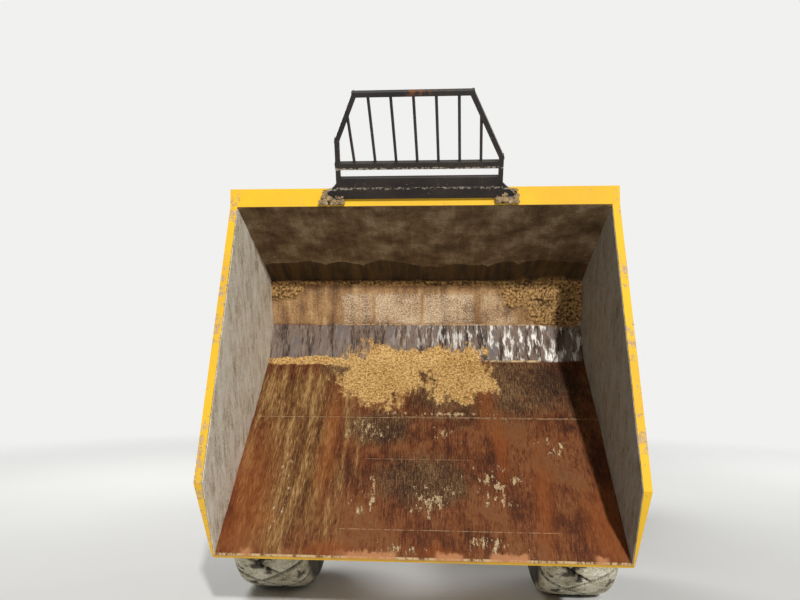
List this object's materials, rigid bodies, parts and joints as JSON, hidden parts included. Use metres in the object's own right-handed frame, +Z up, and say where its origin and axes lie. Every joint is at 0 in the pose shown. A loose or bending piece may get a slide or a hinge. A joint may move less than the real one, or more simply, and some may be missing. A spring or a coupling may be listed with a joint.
{
  "type": "articulated forward-tipping site dumper",
  "caption": "Articulated wheeled dumper with a wide forward-tipping skip, a barred guard on its rear rim, an open driving seat behind it and an engine under a rear bonnet.",
  "frame": {"origin": "middle of the machine's footprint on the ground, with the skip tipped as it stands", "axes": "-Y the way the machine faces, +X its left, +Z up"},
  "size_m": [2.45, 5.1383, 3.25],
  "materials": {
    "skip_steel": "worn bare plate, rust and dried mortar",
    "skip_paint": "worn yellow enamel",
    "guard_paint": "chipped black paint with rust",
    "chassis_paint": "black chassis paint, dusty",
    "axle_paint": "black paint over castings, muddy",
    "ram_paint": "black paint",
    "rod_chrome": "hard chrome",
    "cast_weight": "black paint over a casting",
    "engine_iron": "engine castings, oily",
    "body_paint": "yellow enamel",
    "tank_plastic": "black moulded tanks",
    "step_paint": "black paint",
    "mudguard_paint": "yellow enamel, muddy",
    "rops_paint": "black paint",
    "exhaust_steel": "heat-stained steel",
    "rim_paint": "off-white paint, muddy",
    "tyre": "black rubber with dried mud",
    "seat_vinyl": "black vinyl",
    "console_plastic": "moulded plastic",
    "wheel_plastic": "moulded plastic",
    "lamp_plastic": "clear lens in a black body",
    "lamp_red": "red lens",
    "beacon_amber": "amber lens"
  },
  "bodies": {
    "rear_chassis": {"rear_chassis": "chassis_paint", "rear_axle": "axle_paint", "counterweight": "cast_weight", "engine_block": "engine_iron", "engine_bay_panels": "body_paint", "platform": "chassis_paint", "fuel_tank": "tank_plastic", "hydraulic_tank": "tank_plastic", "steps": "step_paint", "rear_mudguards": "mudguard_paint", "seat_base": "step_paint", "seat_cushion": "seat_vinyl", "seat_back": "seat_vinyl", "console": "console_plastic", "steering_wheel": "wheel_plastic", "rops_frame": "rops_paint", "exhaust_stack": "exhaust_steel", "headlamps": "lamp_plastic", "tail_lamps": "lamp_red", "beacon": "beacon_amber", "mirrors": "console_plastic", "handrails": "rops_paint"},
    "front_chassis": {"front_chassis": "chassis_paint", "front_axle": "axle_paint"},
    "skip": {"skip_tub": "skip_steel", "skip_sides": "skip_steel", "skip_rear_rim": "skip_paint", "skip_side_rims": "skip_paint", "skip_lip_bar": "skip_paint", "skip_underframe": "skip_paint", "skip_back_ribs": "skip_paint", "skip_guard": "guard_paint"},
    "tip_ram_barrels": {"tip_ram_barrels": "ram_paint"},
    "tip_ram_rods": {"tip_ram_rods": "rod_chrome"},
    "steer_ram_barrel": {"steer_ram_barrel": "ram_paint"},
    "steer_ram_rod": {"steer_ram_rod": "rod_chrome"},
    "bonnet": {"bonnet": "body_paint"},
    "wheel_front_left": {"rim_front_left": "rim_paint", "tyre_front_left": "tyre"},
    "wheel_front_right": {"rim_front_right": "rim_paint", "tyre_front_right": "tyre"},
    "wheel_rear_left": {"rim_rear_left": "rim_paint", "tyre_rear_left": "tyre"},
    "wheel_rear_right": {"rim_rear_right": "rim_paint", "tyre_rear_right": "tyre"}
  },
  "joints": [
    {"name": "articulation_steer", "type": "hinge", "parent": "rear_chassis", "child": "front_chassis", "pos_m": [0, 0.1342, 0.85], "axis": [0, 0, 1], "range_deg": [-35, 35]},
    {"name": "skip_tip", "type": "hinge", "parent": "front_chassis", "child": "skip", "pos_m": [0, -1.2708, 1.165], "axis": [1, 0, 0], "range_deg": [-70, 0]},
    {"name": "tip_ram_swing", "type": "hinge", "parent": "front_chassis", "child": "tip_ram_barrels", "pos_m": [0, -0.25581, 0.69], "axis": [1, 0, 0], "range_deg": [-0.5, 5.5]},
    {"name": "tip_ram_stroke", "type": "slide", "parent": "tip_ram_barrels", "child": "tip_ram_rods", "axis": [0, -0.7946, 0.6072], "range_m": [-0.29, 0.005]},
    {"name": "steer_ram_swing", "type": "hinge", "parent": "rear_chassis", "child": "steer_ram_barrel", "pos_m": [0.24, 0.54419, 0.52], "axis": [0, 0, 1], "range_deg": [-13, 13]},
    {"name": "steer_ram_stroke", "type": "slide", "parent": "steer_ram_barrel", "child": "steer_ram_rod", "axis": [-0.1104, -0.9939, 0], "range_m": [-0.125, 0.125]},
    {"name": "bonnet_lift", "type": "hinge", "parent": "rear_chassis", "child": "bonnet", "pos_m": [0, 2.28419, 1.178], "axis": [-1, 0, 0], "range_deg": [0, 60]},
    {"name": "wheel_front_left_spin", "type": "hinge", "parent": "front_chassis", "child": "wheel_front_left", "pos_m": [0.975, -1.01581, 0.585], "axis": [1, 0, 0], "continuous": true},
    {"name": "wheel_front_right_spin", "type": "hinge", "parent": "front_chassis", "child": "wheel_front_right", "pos_m": [-0.975, -1.01581, 0.585], "axis": [1, 0, 0], "continuous": true},
    {"name": "wheel_rear_left_spin", "type": "hinge", "parent": "rear_chassis", "child": "wheel_rear_left", "pos_m": [0.975, 1.6342, 0.585], "axis": [1, 0, 0], "continuous": true},
    {"name": "wheel_rear_right_spin", "type": "hinge", "parent": "rear_chassis", "child": "wheel_rear_right", "pos_m": [-0.975, 1.6342, 0.585], "axis": [1, 0, 0], "continuous": true}
  ],
  "couplings": [
    {"joint": "tip_ram_swing", "follows": "skip_tip", "ratio": -0.065349},
    {"joint": "tip_ram_stroke", "follows": "skip_tip", "m_per_rad": 0.23011},
    {"joint": "steer_ram_swing", "follows": "articulation_steer", "ratio": 0.317},
    {"joint": "steer_ram_stroke", "follows": "articulation_steer", "m_per_rad": -0.191}
  ]
}
